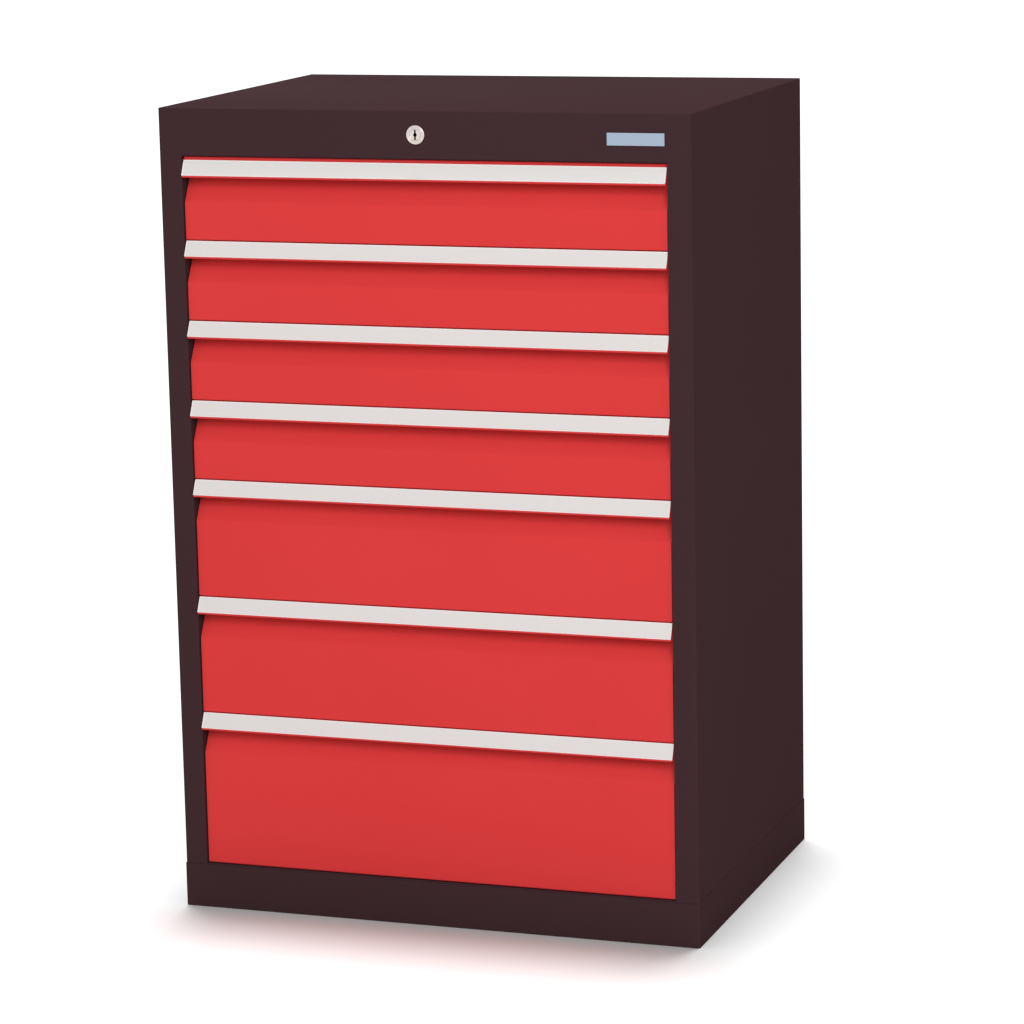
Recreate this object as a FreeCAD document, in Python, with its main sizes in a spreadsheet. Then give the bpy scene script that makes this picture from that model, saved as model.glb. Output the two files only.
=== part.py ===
import FreeCAD, Part
import Sketcher
import os

# A sheet steel drawer cabinet: a welded housing on a plinth, seven drawers on
# telescopic roller slides, and a central lock that works a bar at the back.
#
# Every piece is drawn with y = 0 on the front of the housing, and is moved as
# a whole at the end, so that the origin lies under the middle of the cabinet.
# X runs to the right, Y to the back and Z up. Drawer pieces are drawn with
# z = 0 on the line where their drawer's space begins at the top.

doc = FreeCAD.newDocument("drawer_cabinet")

# Driving dimensions, in millimetres and degrees.
SIZES = {
    # housing
    "wide": 682,
    "depth": 500,
    "fascia_high": 59,
    "plinth_high": 56,
    "plinth_proud": 1,
    "plinth_sheet": 2,
    "plinth_foot": 30,
    "plinth_ledge": 25,
    "steel": 1.5,
    "post_wide": 29.2,
    "post_deep": 30,
    "post_lip": 14,
    "back_frame": 22,
    "fascia_return": 22,
    "fascia_lip": 14,
    "roof_flange": 20,
    # drawer spaces, from the top one down, and the rise of the lowest
    "drawer_1": 100,
    "drawer_2": 100,
    "drawer_3": 100,
    "drawer_4": 100,
    "drawer_5": 150,
    "drawer_6": 150,
    "drawer_7": 200,
    "base_rise": 2.5,
    "travel": 400,
    # drawer fronts
    "front_steel": 1.2,
    "front_side_gap": 1.5,
    "face_back": 3,
    "handle_top": 5.2,
    "handle_wide": 23.8,
    "handle_tilt": 26,
    "handle_hem": 4,
    "recess_back": 20.2,
    "slope_top": 29.2,
    "slope_foot": 57.6,
    "face_drop": 4,
    "seam_gap": 0.8,
    "sill_gap": 0.7,
    "top_gap": 0.6,
    # label strips
    "strip_start": 0.8,
    "strip_wide": 20.5,
    "strip_thick": 1.8,
    "strip_rim": 1.5,
    "strip_bed": 0.6,
    # trays
    "tray_steel": 1,
    "tray_top": 14,
    "tray_rise": 8,
    "tray_back_gap": 58,
    "divider_pitch": 50,
    "divider_slot": 2.5,
    "divider_high": 30,
    "divider_drop": 10,
    # slides
    "column_wide": 30,
    "column_front_gap": 10,
    "column_back_gap": 70,
    "column_head": 30,
    "column_pitch": 50,
    "column_slot": 8,
    "column_slot_high": 24,
    "rail_steel": 2,
    "rail_gap": 0.5,
    "rail_drop": 52,
    "rail_front_gap": 4,
    "rail_back_gap": 20,
    "slide_gap": 1.3,
    "tray_rail_inset": 3.8,
    "tray_rail_short": 2,
    "carriage_inset": 5.8,
    "carriage_high": 24,
    "roller_dia": 22,
    "roller_wide": 6.5,
    "roller_play": 0.3,
    "roller_side": 0.4,
    "axle_dia": 8,
    "axle_play": 0.05,
    "axle_head": 11,
    "axle_head_thick": 1,
    "axle_head_gap": 0.55,
    "stop_thick": 2,
    "stop_gap": 0.3,
    # lock
    "lock_left": 3,
    "lock_drop": 29,
    "lock_turn": 90,
    "collar_dia": 23.5,
    "collar_thick": 2.5,
    "barrel_dia": 19,
    "barrel_deep": 28,
    "barrel_play": 0.05,
    "plug_dia": 14,
    "plug_play": 0.05,
    "plug_proud": 0.3,
    "plug_tail": 0.5,
    "key_high": 12,
    "key_wide": 2.2,
    "key_round": 4.6,
    "key_deep": 20,
    "nut_across": 26,
    "nut_thick": 5,
    "shaft_dia": 8,
    "shaft_play": 0.05,
    "crank_reach": 14,
    "crank_thick": 3.5,
    "crank_wide": 12,
    "crank_gap": 0.8,
    "pin_dia": 6,
    "pin_play": 0.6,
    "pin_past": 1,
    "bar_wide": 20,
    "bar_thick": 3,
    "bar_back_gap": 10,
    "bar_end": 6,
    "bar_below": 20,
    "hook_steel": 2,
    "hook_wide": 14,
    "hook_gap": 6,
    "hook_lip": 10,
    "hook_drop": 30,
    "catch_gap": 1,
    "guide_steel": 2,
    "guide_high": 16,
    "guide_gap": 0.5,
    "guide_drop": 90,
    "bearing_wide": 30,
    "bearing_steel": 3,
    "bearing_foot": 20,
    "bearing_below": 12,
    "bearing_gap": 10,
    # bare name plate
    "plate_wide": 72,
    "plate_high": 16,
    "plate_thick": 0.8,
    "plate_inset": 2.4,
    "plate_drop": 31,
}

DRAWERS = range(1, 8)
SIDES = {"left": -1, "right": 1}
SURPLUS = "5"  # how far a cutting tool reaches past what it cuts

sheet = doc.addObject("Spreadsheet::Sheet", "size")
for row, (alias, value) in enumerate(SIZES.items(), 1):
    sheet.set("A%d" % row, alias)
    sheet.set("B%d" % row, str(value))
    sheet.setAlias("B%d" % row, alias)
doc.recompute()

# Places that several pieces share, each worked out from the driving dimensions.
HALF = "(size.wide / 2)"
INSIDE = "(size.wide / 2 - size.steel)"
OPENING = "(size.wide / 2 - size.post_wide)"
BASE = "(size.plinth_high + size.steel + size.base_rise)"


def level(number):
    """Height at which the space of one drawer begins at the top."""
    heights = ["size.drawer_%d" % lower for lower in DRAWERS if lower >= number]
    return "(" + BASE + " + " + " + ".join(heights) + ")"


TOP = "(" + level(1) + " + size.fascia_high)"
ROOF = "(" + TOP + " - size.steel)"
BACK_INSIDE = "(size.depth - size.steel * 2)"
FRONT_TOP = "(size.face_drop + size.seam_gap)"
TRAY_FRONT = "size.recess_back"
TRAY_BACK = "(size.depth - size.tray_back_gap)"
TILT_SIN = "sin(size.handle_tilt * 1 deg)"
TILT_COS = "cos(size.handle_tilt * 1 deg)"
STRIP_END = "(size.strip_start + size.strip_wide)"
REACH = ("(" + STRIP_END + " * " + TILT_SIN + " + size.strip_thick * " + TILT_COS
         + " - size.handle_top)")
FRONT = "(" + REACH + " - size.depth) / 2"

nodes = {}


def box(name, x, y, z):
    """A box between two values on each axis, each value an expression."""
    item = doc.addObject("Part::Box", name)
    for side, axis, (low, high) in (("Length", "x", x), ("Width", "y", y), ("Height", "z", z)):
        item.setExpression(side, "(" + high + ") - (" + low + ")")
        item.setExpression("Placement.Base." + axis, low)
    return item


def rod(name, axis, x, y, z, radius):
    """A cylinder: the axis it runs along has two values, the others have one."""
    item = doc.addObject("Part::Cylinder", name)
    turns = {"x": FreeCAD.Rotation(FreeCAD.Vector(0, 1, 0), 90),
             "y": FreeCAD.Rotation(FreeCAD.Vector(1, 0, 0), -90),
             "z": FreeCAD.Rotation()}
    item.Placement = FreeCAD.Placement(FreeCAD.Vector(), turns[axis])
    item.setExpression("Radius", radius)
    for key, value in (("x", x), ("y", y), ("z", z)):
        if key == axis:
            low, high = value
            item.setExpression("Height", "(" + high + ") - (" + low + ")")
            value = low
        item.setExpression("Placement.Base." + key, value)
    return item


def fuse(name, pieces):
    """One solid out of pieces that touch or overlap."""
    item = doc.addObject("Part::MultiFuse", name)
    item.Shapes = pieces
    item.Refine = True
    return item


def cut(name, base, tool):
    """What is left of the base once the tool is taken away."""
    item = doc.addObject("Part::Cut", name)
    item.Base = base
    item.Tool = tool
    item.Refine = True
    return item


def group(name, pieces):
    """Separate solids kept together."""
    item = doc.addObject("Part::Compound", name)
    item.Links = pieces
    return item


def node(label, item, z="0"):
    """Name a finished piece, and move it from the drawing frame to its place."""
    item.Label = label
    item.setExpression("Placement.Base.y", FRONT)
    item.setExpression("Placement.Base.z", z)
    nodes[label] = item
    return item


# The two ways in which a sketch lies: as a plan, and as a section seen from the
# side, where its x runs along Y and its y along Z.
PLAN = FreeCAD.Rotation()
FROM_SIDE = FreeCAD.Rotation(FreeCAD.Vector(1, 1, 1), 120)


def fix_point(sketch, geometry, position, x, y):
    """Tie one point of a sketch to two expressions."""
    for kind, text in (("DistanceX", x), ("DistanceY", y)):
        value = float(sketch.evalExpression(text))
        rule = sketch.addConstraint(Sketcher.Constraint(kind, -1, 1, geometry, position, value))
        sketch.setExpression("Constraints[%d]" % rule, text)


def point(sketch, x, y):
    """A point of the sketch plane at the present value of two expressions."""
    return FreeCAD.Vector(float(sketch.evalExpression(x)), float(sketch.evalExpression(y)), 0)


def folded(name, lie, corners, thickness, direction, length):
    """A folded sheet: its outer line, the thickness to the right of it, and its length."""
    sketch = doc.addObject("Sketcher::SketchObject", name + "_line")
    sketch.Placement = FreeCAD.Placement(FreeCAD.Vector(), lie)
    places = [point(sketch, x, y) for x, y in corners]
    for index in range(len(corners) - 1):
        sketch.addGeometry(Part.LineSegment(places[index], places[index + 1]))
        if index:
            sketch.addConstraint(Sketcher.Constraint("Coincident", index - 1, 2, index, 1))
        fix_point(sketch, index, 1, *corners[index])
    fix_point(sketch, len(corners) - 2, 2, *corners[-1])
    wall = doc.addObject("Part::Offset2D", name + "_wall")
    wall.Source = sketch
    wall.Mode = "Skin"
    wall.Join = "Intersection"
    wall.Fill = True
    wall.setExpression("Value", thickness)
    return extrude(name, wall, direction, length)


def extrude(name, base, direction, length):
    """A flat shape drawn out along one axis, from one value to another."""
    low, high = length
    item = doc.addObject("Part::Extrusion", name)
    item.Base = base
    item.DirMode = "Custom"
    item.Dir = direction
    item.Solid = True
    item.setExpression("LengthFwd", high)
    item.setExpression("LengthRev", "-(" + low + ")")
    return item


def rings(name, centres, outer, bore, length):
    """Plain rollers side by side: rings whose axis runs along X."""
    sketch = doc.addObject("Sketcher::SketchObject", name + "_circles")
    sketch.Placement = FreeCAD.Placement(FreeCAD.Vector(), FROM_SIDE)
    for centre in centres:
        for radius in (outer, bore):
            size = float(sketch.evalExpression(radius))
            circle = Part.Circle(point(sketch, centre, "0"), FreeCAD.Vector(0, 0, 1), size)
            index = sketch.addGeometry(circle)
            fix_point(sketch, index, 3, centre, "0")
            rule = sketch.addConstraint(Sketcher.Constraint("Radius", index, size))
            sketch.setExpression("Constraints[%d]" % rule, radius)
    return extrude(name, sketch, FreeCAD.Vector(1, 0, 0), length)


def across(side, low, high):
    """A stretch of X on one side of the middle, given as on the right."""
    if SIDES[side] > 0:
        return low, high
    return "-(" + high + ")", "-(" + low + ")"


def middle(half):
    """A stretch of X centred on the middle."""
    return "-(" + half + ")", half


# Side panels: one sheet each, folded into the front post and a flange at the back.
def side_panel(side):
    corners = [
        (HALF + " - size.back_frame", "size.depth"),
        (HALF, "size.depth"),
        (HALF, "0"),
        (OPENING, "0"),
        (OPENING, "size.post_deep"),
        (OPENING + " + size.post_lip", "size.post_deep"),
    ]
    if side == "left":
        corners = [("-(" + x + ")", y) for x, y in reversed(corners)]
    up = FreeCAD.Vector(0, 0, 1)
    panel = folded("side_sheet_" + side, PLAN, corners, "size.steel", up, ("size.plinth_high", ROOF))
    node("side_panel_" + side, group("side_panel_" + side, [panel]))


for side in SIDES:
    side_panel(side)

# Place of the lock and of the parts behind it.
LOCK_X = "-size.lock_left"
LOCK_Z = "(" + TOP + " - size.lock_drop)"
BARREL = "(size.barrel_dia / 2)"

# Top panel: the roof, the fascia folded down in front with its stiffening
# return, a flange down the back and one inside each side panel.
roof = [
    box("roof", middle(HALF), ("0", "size.depth"), (ROOF, TOP)),
    box("fascia", middle(OPENING), ("0", "size.steel"), (level(1), ROOF)),
    box("fascia_return", middle(OPENING), ("0", "size.fascia_return"),
        (level(1), level(1) + " + size.steel")),
    box("fascia_lip", middle(OPENING), ("size.fascia_return - size.steel", "size.fascia_return"),
        (level(1), level(1) + " + size.fascia_lip")),
    box("roof_back", middle(HALF + " - size.back_frame"), ("size.depth - size.steel", "size.depth"),
        (TOP + " - size.back_frame", ROOF)),
]
for side in SIDES:
    roof.append(box("roof_flange_" + side, across(side, INSIDE + " - size.steel", INSIDE),
                    ("size.post_deep + size.steel", "size.depth - size.back_frame"),
                    (TOP + " - size.roof_flange", ROOF)))
lock_hole = rod("lock_hole", "y", LOCK_X, ("-" + SURPLUS, "size.steel + " + SURPLUS), LOCK_Z,
                BARREL + " + size.barrel_play")
node("top_panel", cut("top_panel", fuse("roof_sheet", roof), lock_hole))

# Back panel, set inside the flanges of the sides and of the roof.
node("back_panel", group("back_panel", [
    box("back_sheet", middle(INSIDE), (BACK_INSIDE, "size.depth - size.steel"),
        ("size.plinth_high", ROOF))]))

# Bottom panel: it lies on the plinth, with a tongue between the front posts.
node("bottom_panel", fuse("bottom_panel", [
    box("floor", middle(INSIDE), ("size.post_deep", BACK_INSIDE),
        ("size.plinth_high", "size.plinth_high + size.steel")),
    box("sill", middle(OPENING), ("0", "size.post_deep"),
        ("size.plinth_high", "size.plinth_high + size.steel"))]))


# Plinth: a ring of channel that stands a little proud of the housing, with a
# foot flange on the floor and a ledge flange under the housing.
def plinth_ring(name, inset, z):
    return box(name, middle(HALF + " + size.plinth_proud - " + inset),
               (inset + " - size.plinth_proud", "size.depth - " + inset), z)


PLINTH_INNER = "size.plinth_high - size.plinth_sheet"
hollow = fuse("plinth_hollow", [
    plinth_ring("plinth_channel", "size.plinth_sheet", ("size.plinth_sheet", PLINTH_INNER)),
    plinth_ring("plinth_foot_hole", "size.plinth_foot", ("-" + SURPLUS, "size.plinth_high / 2")),
    plinth_ring("plinth_ledge_hole", "size.plinth_ledge",
                ("size.plinth_high / 2", "size.plinth_high + " + SURPLUS))])
node("plinth", cut("plinth", plinth_ring("plinth_block", "0", ("0", "size.plinth_high")), hollow))

# Slides stand just clear of the opening, so that they pass through it, and are
# as deep as their rollers need. Slotted columns fill the rest of the way to the
# side panels.
WEB_OUT = "(" + OPENING + " - size.slide_gap)"
WEB_IN = "(" + WEB_OUT + " - size.rail_steel)"
FIXED_TIP = "(" + WEB_OUT + " + size.rail_gap)"
FIXED_WEB = ("(" + WEB_OUT + " + size.roller_side + size.roller_wide + size.axle_play"
             " + size.axle_head_thick + size.axle_head_gap)")
COLUMN_FACE = "(" + FIXED_WEB + " + size.rail_steel)"
TRAY_TIP = "(" + WEB_IN + " - size.rail_gap)"
TRAY_WEB = ("(" + WEB_IN + " - size.roller_side - size.roller_wide - size.axle_play"
            " - size.axle_head_thick - size.axle_head_gap)")
TRAY_HALF = "(" + TRAY_WEB + " - size.rail_steel)"
FLOOR = "(size.plinth_high + size.steel)"
COLUMN_TOP = "(" + level(1) + " + size.column_head)"
COLUMN_SPAN = "(" + COLUMN_TOP + " - " + FLOOR + ")"
COLUMN_SLOTS = int(float(sheet.evalExpression(COLUMN_SPAN + " / size.column_pitch")))


def column(side, place, start):
    """One upright channel with a row of slots in its web."""
    end = start + " + size.column_wide"
    name = "column_" + place + "_" + side
    z = (FLOOR, COLUMN_TOP)
    channel = [
        box(name + "_web", across(side, COLUMN_FACE, COLUMN_FACE + " + size.rail_steel"),
            (start, end), z),
        box(name + "_near", across(side, COLUMN_FACE, INSIDE),
            (start, start + " + size.rail_steel"), z),
        box(name + "_far", across(side, COLUMN_FACE, INSIDE), (end + " - size.rail_steel", end), z)]
    slots = []
    centre = start + " + size.column_wide / 2"
    for step in range(COLUMN_SLOTS):
        low = "%s + size.column_pitch * %d + size.column_slot" % (FLOOR, step)
        slots.append(box(name + "_slot_%d" % step,
                         across(side, COLUMN_FACE + " - " + SURPLUS,
                                COLUMN_FACE + " + size.rail_steel + " + SURPLUS),
                         (centre + " - size.column_slot / 2", centre + " + size.column_slot / 2"),
                         (low, low + " + size.column_slot_high")))
    return cut(name, fuse(name + "_channel", channel), group(name + "_slots", slots))


for side in SIDES:
    pair = [column(side, "front", "size.post_deep + size.column_front_gap"),
            column(side, "back", "size.depth - size.column_back_gap")]
    node("rail_columns_" + side, group("rail_columns_" + side, pair))

# Telescopic slides. From the column inwards, each has a fixed rail, a carriage
# with rollers on both faces, and a rail on the tray. Both rails are channels
# that hold the rollers, with a stop across each end.
CHANNEL = "(size.roller_dia / 2 + size.roller_play)"
STOP = "size.stop_thick + size.stop_gap + size.roller_dia / 2"
RAIL_START = "(size.post_deep + size.rail_front_gap)"
RAIL_END = "(size.depth - size.rail_back_gap)"
TRAY_RAIL_START = "(" + TRAY_FRONT + " + size.tray_rail_inset)"
TRAY_RAIL_END = "(" + TRAY_BACK + " - size.tray_rail_short)"


def rail(name, side, web, flange, stop, y):
    """A channel on one side: the stretches of X of its web, its flanges and its stops."""
    outer = CHANNEL + " + size.rail_steel"
    start, end = y
    return fuse(name, [
        box(name + "_web", across(side, *web), y, ("-(" + outer + ")", outer)),
        box(name + "_upper", across(side, *flange), y, (CHANNEL, outer)),
        box(name + "_lower", across(side, *flange), y, ("-(" + outer + ")", "-" + CHANNEL)),
        box(name + "_front_stop", across(side, *stop), (start, start + " + size.stop_thick"),
            middle(CHANNEL)),
        box(name + "_back_stop", across(side, *stop), (end + " - size.stop_thick", end),
            middle(CHANNEL))])


fixed_rail = {}
tray_rail = {}
for side in SIDES:
    fixed_rail[side] = rail(
        "fixed_rail_" + side, side, web=(FIXED_WEB, COLUMN_FACE), flange=(FIXED_TIP, COLUMN_FACE),
        stop=(FIXED_TIP + " + size.rail_gap * 2", COLUMN_FACE), y=(RAIL_START, RAIL_END))
    tray_rail[side] = rail(
        "tray_rail_" + side, side, web=(TRAY_HALF, TRAY_WEB), flange=(TRAY_HALF, TRAY_TIP),
        stop=(TRAY_HALF, TRAY_TIP + " - size.rail_gap * 2"),
        y=(TRAY_RAIL_START, TRAY_RAIL_END))

# Where the rollers' axles are along the carriage at rest. Each of the four
# meets a stop at one end of the travel, of which the carriage makes half.
HALF_WAY = "size.travel / 2"
OUTER_AXLES = [RAIL_END + " - (" + STOP + ")", RAIL_START + " + " + STOP + " + " + HALF_WAY]
INNER_AXLES = [TRAY_RAIL_START + " + " + STOP, TRAY_RAIL_END + " - (" + STOP + ") - " + HALF_WAY]
CARRIAGE_START = "(" + TRAY_FRONT + " + size.carriage_inset)"
CARRIAGE_END = "(" + RAIL_END + " - size.stop_thick)"
AXLE = "size.axle_dia / 2"


def carriage(side):
    """One side's carriage: a flat bar with four axles riveted to it."""
    name = "carriage_" + side
    half_high = "size.carriage_high / 2"
    parts = [box(name + "_bar", across(side, WEB_IN, WEB_OUT), (CARRIAGE_START, CARRIAGE_END),
                 middle(half_high))]
    roller_end = "size.roller_side + size.roller_wide + size.axle_play"
    head_end = roller_end + " + size.axle_head_thick"
    for index, centre in enumerate(OUTER_AXLES + INNER_AXLES):
        if index < len(OUTER_AXLES):
            shank = (WEB_IN, WEB_OUT + " + " + roller_end)
            head = (WEB_OUT + " + " + roller_end, WEB_OUT + " + " + head_end)
        else:
            shank = (WEB_IN + " - (" + roller_end + ")", WEB_OUT)
            head = (WEB_IN + " - (" + head_end + ")", WEB_IN + " - (" + roller_end + ")")
        parts.append(rod("%s_axle_%d" % (name, index), "x", across(side, *shank), centre, "0", AXLE))
        parts.append(rod("%s_head_%d" % (name, index), "x", across(side, *head), centre, "0",
                         "size.axle_head / 2"))
    return fuse(name, parts)


def rollers(side):
    """One side's four rollers, two on each face of the carriage."""
    bore = AXLE + " + size.axle_play"
    outer = (WEB_OUT + " + size.roller_side", WEB_OUT + " + size.roller_side + size.roller_wide")
    inner = (WEB_IN + " - size.roller_side - size.roller_wide", WEB_IN + " - size.roller_side")
    return [rings("outer_rollers_" + side, OUTER_AXLES, "size.roller_dia / 2", bore,
                  across(side, *outer)),
            rings("inner_rollers_" + side, INNER_AXLES, "size.roller_dia / 2", bore,
                  across(side, *inner))]


carriage_bars = [carriage(side) for side in SIDES]
carriage_rollers = rollers("left") + rollers("right")

for side in SIDES:
    rails = []
    for number in DRAWERS:
        copy = group("fixed_rail_%s_%d" % (side, number), [fixed_rail[side]])
        copy.setExpression("Placement.Base.z", level(number) + " - size.rail_drop")
        rails.append(copy)
    node("cabinet_rails_" + side, group("cabinet_rails_" + side, rails))

for number in DRAWERS:
    height = level(number) + " - size.rail_drop"
    for label, pieces in (("drawer_rails", list(tray_rail.values())),
                          ("carriage_bars", carriage_bars),
                          ("carriage_rollers", carriage_rollers)):
        name = "%s_%d" % (label, number)
        node(name, group(name, pieces), height)

# Drawer fronts: one sheet each. From a hem under the finger grip it runs up the
# leaning handle face, back over the top, down behind the grip, out along the
# slope to the flat face, and ends in a flange at the foot.
FRONT_HALF = "(" + OPENING + " - size.front_side_gap)"
GRIP_Y = "(size.handle_top - size.handle_wide * " + TILT_SIN + ")"
GRIP_Z = "(-" + FRONT_TOP + " - size.handle_wide * " + TILT_COS + ")"


def front_foot(number):
    """Height of a front's lower edge: it hides the seam, or clears the sill."""
    edge = "-size.drawer_%d - " % number
    if number == DRAWERS[-1]:
        return edge + "size.base_rise + size.sill_gap"
    return edge + "size.face_drop"


def front_panel(number):
    foot = front_foot(number) + " + size.front_steel"
    corners = [(GRIP_Y + " + size.handle_hem", GRIP_Z), (GRIP_Y, GRIP_Z),
               ("size.handle_top", "-" + FRONT_TOP)]
    top = "-" + FRONT_TOP
    if number == DRAWERS[0]:
        # The first front stands taller, because no other front hides its top edge.
        top = "-size.top_gap"
        corners.append(("size.handle_top", top))
    corners += [("size.recess_back", top), ("size.recess_back", "-size.slope_top"),
                ("size.face_back + size.front_steel", "-size.slope_foot"),
                ("size.face_back + size.front_steel", foot), ("size.recess_back", foot)]
    along = FreeCAD.Vector(1, 0, 0)
    name = "front_panel_%d" % number
    panel = folded("front_sheet_%d" % number, FROM_SIDE, corners, "size.front_steel", along,
                   middle(FRONT_HALF))
    node(name, group(name, [panel]), level(number))


for number in DRAWERS:
    front_panel(number)

# Label strips: a long plate with a raised rim, lying on the handle face.
strip_plate = box("strip_plate", middle(FRONT_HALF), ("-size.strip_thick", "0"),
                  ("-" + STRIP_END, "-size.strip_start"))
strip_bed = box("strip_bed", middle(FRONT_HALF + " - size.strip_rim"),
                ("-size.strip_thick - " + SURPLUS, "size.strip_bed - size.strip_thick"),
                ("size.strip_rim - " + STRIP_END, "-size.strip_start - size.strip_rim"))
strip = cut("strip", strip_plate, strip_bed)
strip.Placement.Rotation = FreeCAD.Rotation(FreeCAD.Vector(-1, 0, 0), SIZES["handle_tilt"])
strip.setExpression("Placement.Rotation.Angle", "size.handle_tilt")
strip.setExpression("Placement.Base.y", "size.handle_top")
strip.setExpression("Placement.Base.z", "-" + FRONT_TOP)
for number in DRAWERS:
    name = "label_strip_%d" % number
    node(name, group(name, [strip]), level(number))

# Central lock, behind the fascia: collar and barrel, plug with its keyway, nut.
PLUG = "size.plug_dia / 2"
PLUG_FRONT = "(-size.collar_thick - size.plug_proud)"
PLUG_END = "(size.barrel_deep + size.plug_tail)"
LOCK_BORE = PLUG + " + size.plug_play"

barrel = fuse("barrel", [
    rod("collar", "y", LOCK_X, ("-size.collar_thick", "0"), LOCK_Z, "size.collar_dia / 2"),
    rod("barrel_tube", "y", LOCK_X, ("-size.collar_thick", "size.barrel_deep"), LOCK_Z, BARREL)])
barrel_bore = rod("barrel_bore", "y", LOCK_X, ("-" + SURPLUS, "size.barrel_deep + " + SURPLUS),
                  LOCK_Z, LOCK_BORE)
node("lock_cylinder", cut("lock_cylinder", barrel, barrel_bore))

keyway = fuse("keyway", [
    box("key_slot", (LOCK_X + " - size.key_wide / 2", LOCK_X + " + size.key_wide / 2"),
        (PLUG_FRONT + " - " + SURPLUS, PLUG_FRONT + " + size.key_deep"),
        (LOCK_Z + " - size.key_high / 2", LOCK_Z + " + size.key_high / 2")),
    rod("key_hole", "y", LOCK_X, (PLUG_FRONT + " - " + SURPLUS, PLUG_FRONT + " + size.key_deep"),
        LOCK_Z, "size.key_round / 2")])
plug = rod("plug", "y", LOCK_X, (PLUG_FRONT, PLUG_END), LOCK_Z, PLUG)
node("lock_plug", cut("lock_plug", plug, keyway))

nut = doc.addObject("Part::Prism", "nut_block")
nut.Polygon = 6
nut.Placement = FreeCAD.Placement(FreeCAD.Vector(), FreeCAD.Rotation(FreeCAD.Vector(1, 0, 0), -90))
nut.setExpression("Circumradius", "size.nut_across / 2 / cos(30 deg)")
nut.setExpression("Height", "size.nut_thick")
nut.setExpression("Placement.Base.x", LOCK_X)
nut.setExpression("Placement.Base.y", "size.steel")
nut.setExpression("Placement.Base.z", LOCK_Z)
nut_bore = rod("nut_bore", "y", LOCK_X, ("-" + SURPLUS, "size.nut_thick + " + SURPLUS), LOCK_Z,
               BARREL + " + size.barrel_play")
node("lock_nut", cut("lock_nut", nut, nut_bore))

# Lock shaft: it runs from the plug to the back, where its crank pin works the
# bar. It is drawn about its own axis with the crank to the left, and then
# turned down by half the key's turn.
BAR_FRONT = "(" + BACK_INSIDE + " - size.bar_back_gap - size.bar_thick)"
CRANK_END = "(" + BAR_FRONT + " - size.crank_gap)"
CRANK_START = "(" + CRANK_END + " - size.crank_thick)"
SHAFT = "size.shaft_dia / 2"

shaft = fuse("lock_shaft", [
    rod("shaft_rod", "y", "0", (PLUG_END, CRANK_END), "0", SHAFT),
    rod("crank_hub", "y", "0", (CRANK_START, CRANK_END), "0", "size.crank_wide / 2"),
    box("crank_arm", ("-size.crank_reach", "0"), (CRANK_START, CRANK_END),
        middle("(size.crank_wide / 2)")),
    rod("crank_eye", "y", "-size.crank_reach", (CRANK_START, CRANK_END), "0",
        "size.crank_wide / 2"),
    rod("crank_pin", "y", "-size.crank_reach",
        (CRANK_START, BAR_FRONT + " + size.bar_thick + size.pin_past"), "0", "size.pin_dia / 2")])
shaft.Placement.Rotation = FreeCAD.Rotation(FreeCAD.Vector(0, -1, 0), SIZES["lock_turn"] / 2)
shaft.setExpression("Placement.Rotation.Angle", "size.lock_turn / 2")
shaft.setExpression("Placement.Base.x", LOCK_X)
node("lock_shaft", shaft, LOCK_Z)

# A bracket under the roof carries the back end of the shaft.
BEARING_END = "(" + CRANK_START + " - size.bearing_gap)"
BEARING_X = (LOCK_X + " - size.bearing_wide / 2", LOCK_X + " + size.bearing_wide / 2")
bearing = fuse("bearing_bracket", [
    box("bearing_plate", BEARING_X, (BEARING_END + " - size.bearing_steel", BEARING_END),
        (LOCK_Z + " - size.bearing_below", ROOF)),
    box("bearing_foot", BEARING_X, (BEARING_END + " - size.bearing_foot", BEARING_END),
        (ROOF + " - size.bearing_steel", ROOF))])
bearing_bore = rod("bearing_bore", "y", LOCK_X,
                   (BEARING_END + " - size.bearing_foot", BEARING_END + " + " + SURPLUS), LOCK_Z,
                   SHAFT + " + size.shaft_play")
node("shaft_bearing", cut("shaft_bearing", bearing, bearing_bore))

# Lock bar: it slides up the back and its catches rise in front of the hooks on
# the trays. The crank pin works in a slot near its upper end.
LIFT = "(2 * size.crank_reach * sin(size.lock_turn / 2 * 1 deg))"
PIN_SIDE = "(size.crank_reach * cos(size.lock_turn / 2 * 1 deg))"
PIN_Z = "(" + LOCK_Z + " - " + LIFT + " / 2)"
SLOT_HALF = "(size.pin_dia / 2 + size.pin_play)"
SLOT_LEFT = "(" + LOCK_X + " - size.crank_reach - " + SLOT_HALF + ")"
SLOT_RIGHT = "(" + LOCK_X + " - " + PIN_SIDE + " + " + SLOT_HALF + ")"
BAR_X = "((" + SLOT_LEFT + " + " + SLOT_RIGHT + ") / 2)"
BAR_SPAN = (BAR_X + " - size.bar_wide / 2", BAR_X + " + size.bar_wide / 2")
BAR_BACK = "(" + BAR_FRONT + " + size.bar_thick)"
HOOK_SPAN = (BAR_X + " - size.hook_wide / 2", BAR_X + " + size.hook_wide / 2")
HOOK_END = "(" + BAR_FRONT + " - size.hook_gap)"
CATCH_BACK = "(" + HOOK_END + " - size.hook_steel - size.catch_gap)"
GUIDED = DRAWERS[::3]


def hook_height(number):
    """Underside of the hook's arm on one drawer."""
    return "(" + level(number) + " - size.hook_drop)"


def guide_height(number):
    """Middle of a guide, just below the reach of that drawer's catch."""
    return "(" + level(number) + " - size.guide_drop)"


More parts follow.
